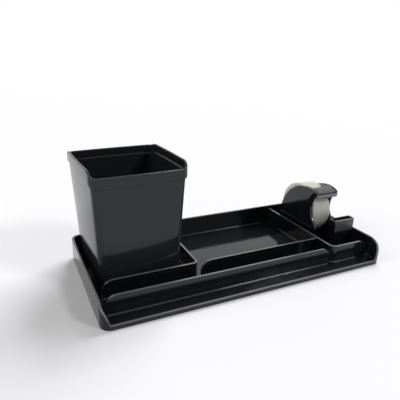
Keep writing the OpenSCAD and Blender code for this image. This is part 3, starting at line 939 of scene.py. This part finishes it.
LAMPS = (   # name, direction, watts per square metre, spread in degrees, whether gloss mirrors it
    ("rear_key", (0.6, 0.45, 0.62), 2.9, 45, False),
    ("rear_glint", (0.35, 0.5, 0.75), 0.2, 7, True),
    ("front_fill", (0.5, -0.6, 0.6), 0.8, 12, True),
    ("left_fill", (-0.8, 0.05, 0.5), 0.6, 25, True),
)


def white_for_view(tree, kind, strength):
    """Where the camera, gloss and glass look, and a white shader of that kind and strength to show there."""
    rays = add_node(tree, "ShaderNodeLightPath").outputs
    seen = rays["Is Camera Ray"]
    for ray in ("Is Glossy Ray", "Is Transmission Ray"):
        seen = add_node(tree, "ShaderNodeMath", [(0, seen), (1, rays[ray])], operation="MAXIMUM")
    return seen, add_node(tree, kind, [("Color", WHITE), ("Strength", strength)])


def make_world():
    """A white surround that lights the object softly and is seen as plain white."""
    world = bpy.data.worlds.new("studio")
    world.use_nodes = True
    tree = world.node_tree
    tree.nodes.clear()
    seen, white = white_for_view(tree, "ShaderNodeBackground", 1.0)
    light = add_node(tree, "ShaderNodeBackground", [("Color", WHITE), ("Strength", WORLD_LIGHT)])
    mix = add_node(tree, "ShaderNodeMixShader", [(0, seen), (1, light), (2, white)])
    add_node(tree, "ShaderNodeOutputWorld", [("Surface", mix)])
    bpy.context.scene.world = world


def make_floor(base):
    """A pale matt floor that keeps the object's shadow; what the camera sees is lifted to white."""
    mesh = bpy.data.meshes.new("floor")
    corners = FLOOR_HALF * np.array([(-1, -1, 0), (1, -1, 0), (1, 1, 0), (-1, 1, 0)])
    mesh.from_pydata(corners.tolist(), [], [(0, 1, 2, 3)])
    floor = add_object("floor", mesh)
    material = bpy.data.materials.new("floor_matt_paper")
    material.use_nodes = True
    tree = material.node_tree
    paper = tree.nodes["Principled BSDF"]
    set_sockets(tree, paper, [("Base Color", (*base, 1)), ("Roughness", 0.9)])
    seen, white = white_for_view(tree, "ShaderNodeEmission", FLOOR_GLOW)
    lifted = add_node(tree, "ShaderNodeAddShader", [(0, paper), (1, white)])
    mix = add_node(tree, "ShaderNodeMixShader", [(0, seen), (1, paper), (2, lifted)])
    set_sockets(tree, tree.nodes["Material Output"], [("Surface", mix)])
    mesh.materials.append(material)


def make_lamp(name, towards, strength, spread, mirrored):
    """A soft lamp far away in direction towards, as wide as its spread; gloss mirrors it only where told."""
    lamp = bpy.data.lights.new(name, "SUN")
    lamp.energy = strength
    lamp.angle = np.radians(spread)
    holder = add_object(name, lamp)
    holder.rotation_euler = Vector(towards).to_track_quat("Z", "Y").to_euler()
    holder.visible_glossy = mirrored


def make_camera(s):
    """The camera: turned about its own view, tilted down from level and turned from +Y, then moved."""
    data = bpy.data.cameras.new("camera")
    data.sensor_width = 36
    data.lens = s.lens
    data.clip_start = 10 * MM
    camera = add_object("camera", data)
    camera.matrix_world = (
        Matrix.Translation(s.place) @ Matrix.Rotation(-s.yaw, 4, "Z")
        @ Matrix.Rotation(np.pi / 2 - s.pitch, 4, "X") @ Matrix.Rotation(s.roll, 4, "Z"))
    bpy.context.scene.camera = camera


# ---------------- operators

class ORGANIZER_OT_stage(bpy.types.Operator):
    """Build the stage: pale floor, white surround, soft lamps and the camera"""
    bl_idname = "organizer.stage"
    bl_label = "Stage"

    def execute(self, context):
        settings = context.scene.organizer_stage
        context.scene.view_settings.view_transform = "Standard"
        make_world()
        make_floor(settings.floor)
        for lamp in LAMPS:
            make_lamp(*lamp)
        make_camera(settings)
        return {"FINISHED"}


class ORGANIZER_OT_tray(bpy.types.Operator):
    """Build the tray: its shell, its inner walls and the upright pocket"""
    bl_idname = "organizer.tray"
    bl_label = "Tray"

    def execute(self, context):
        sizes = context.scene.organizer_tray
        plastic = moulded_gloss("tray_gloss_polystyrene", sizes.plastic, (0.0, 0.0, 0.0))
        # Rim material: a lighter grey painted highlight along the rims and rounded edges.
        edge = painted_highlight_edge("tray_painted_highlight_edge", sizes.plastic)
        make_tray_shell(sizes, plastic, edge)
        make_tray_walls(sizes, plastic, edge)
        # The pocket's front above the walls: lighter grey streaks, a painted reflection.
        painted_reflection = painted_reflection_gloss("pocket_painted_reflection_polystyrene", sizes.plastic, sizes.height)
        make_upright_pocket(sizes, plastic, edge, painted_reflection)
        return {"FINISHED"}


class ORGANIZER_OT_cup(bpy.types.Operator):
    """Build the pen cup"""
    bl_idname = "organizer.cup"
    bl_label = "Pen cup"

    def execute(self, context):
        sizes = context.scene.organizer_cup
        make_pen_cup(sizes, moulded_gloss("cup_gloss_polystyrene", sizes.plastic, (0.3, 0.1, 0.0), 1.36))
        return {"FINISHED"}


class ORGANIZER_OT_dispenser(bpy.types.Operator):
    """Build the tape dispenser: side plates, what joins them, and the cutter"""
    bl_idname = "organizer.dispenser"
    bl_label = "Tape dispenser"

    def execute(self, context):
        sizes = context.scene.organizer_dispenser
        plastic = moulded_gloss("dispenser_gloss_polystyrene", sizes.plastic, (0.1, 0.4, 0.2))
        make_side_plates(sizes, plastic)
        make_dispenser_frame(sizes, plastic)
        make_cutter(sizes, stamped_steel("cutter_rolled_steel", sizes.steel))
        return {"FINISHED"}


class ORGANIZER_OT_tape(bpy.types.Operator):
    """Build the roll of tape, its core, its spool and its free end"""
    bl_idname = "organizer.tape"
    bl_label = "Roll of tape"

    def execute(self, context):
        sizes = context.scene.organizer_tape
        make_tape(
            sizes, context.scene.organizer_dispenser,
            film=wound_film("tape_wound_film", sizes.film_colour),
            loose=single_film("tape_single_film", sizes.film_colour),
            board=wound_board("core_wound_board", sizes.board),
            plastic=moulded_satin("spool_satin_polystyrene", sizes.plastic))
        return {"FINISHED"}


class ORGANIZER_PT_panel(bpy.types.Panel):
    """Buttons for building the desk organizer, and its sizes"""
    bl_idname = "ORGANIZER_PT_panel"
    bl_label = "Desk organizer"
    bl_space_type = "VIEW_3D"
    bl_region_type = "UI"
    bl_category = "Organizer"

    def draw(self, context):
        for step in GROUPS:
            self.layout.operator(f"organizer.{step}")
            settings = getattr(context.scene, f"organizer_{step}")
            column = self.layout.column(align=True)
            for name in settings.__annotations__:
                column.prop(settings, name)


GROUPS = {"stage": StageSettings, "tray": TraySizes, "cup": CupSizes, "dispenser": DispenserSizes,
          "tape": TapeSizes}
BUTTONS = (ORGANIZER_OT_stage, ORGANIZER_OT_tray, ORGANIZER_OT_cup, ORGANIZER_OT_dispenser,
           ORGANIZER_OT_tape, ORGANIZER_PT_panel)


def register():
    """Registers the sizes, the operators and the panel."""
    for name, group in GROUPS.items():
        bpy.utils.register_class(group)
        setattr(bpy.types.Scene, f"organizer_{name}", bpy.props.PointerProperty(type=group))
    for item in BUTTONS:
        bpy.utils.register_class(item)


def unregister():
    """Removes what register added."""
    for item in reversed(BUTTONS):
        bpy.utils.unregister_class(item)
    for name, group in GROUPS.items():
        delattr(bpy.types.Scene, f"organizer_{name}")
        bpy.utils.unregister_class(group)


def main():
    """Builds the stage and every piece."""
    register()
    bpy.ops.organizer.stage()
    bpy.ops.organizer.tray()
    bpy.ops.organizer.cup()
    bpy.ops.organizer.dispenser()
    bpy.ops.organizer.tape()


if __name__ == "__main__":
    main()
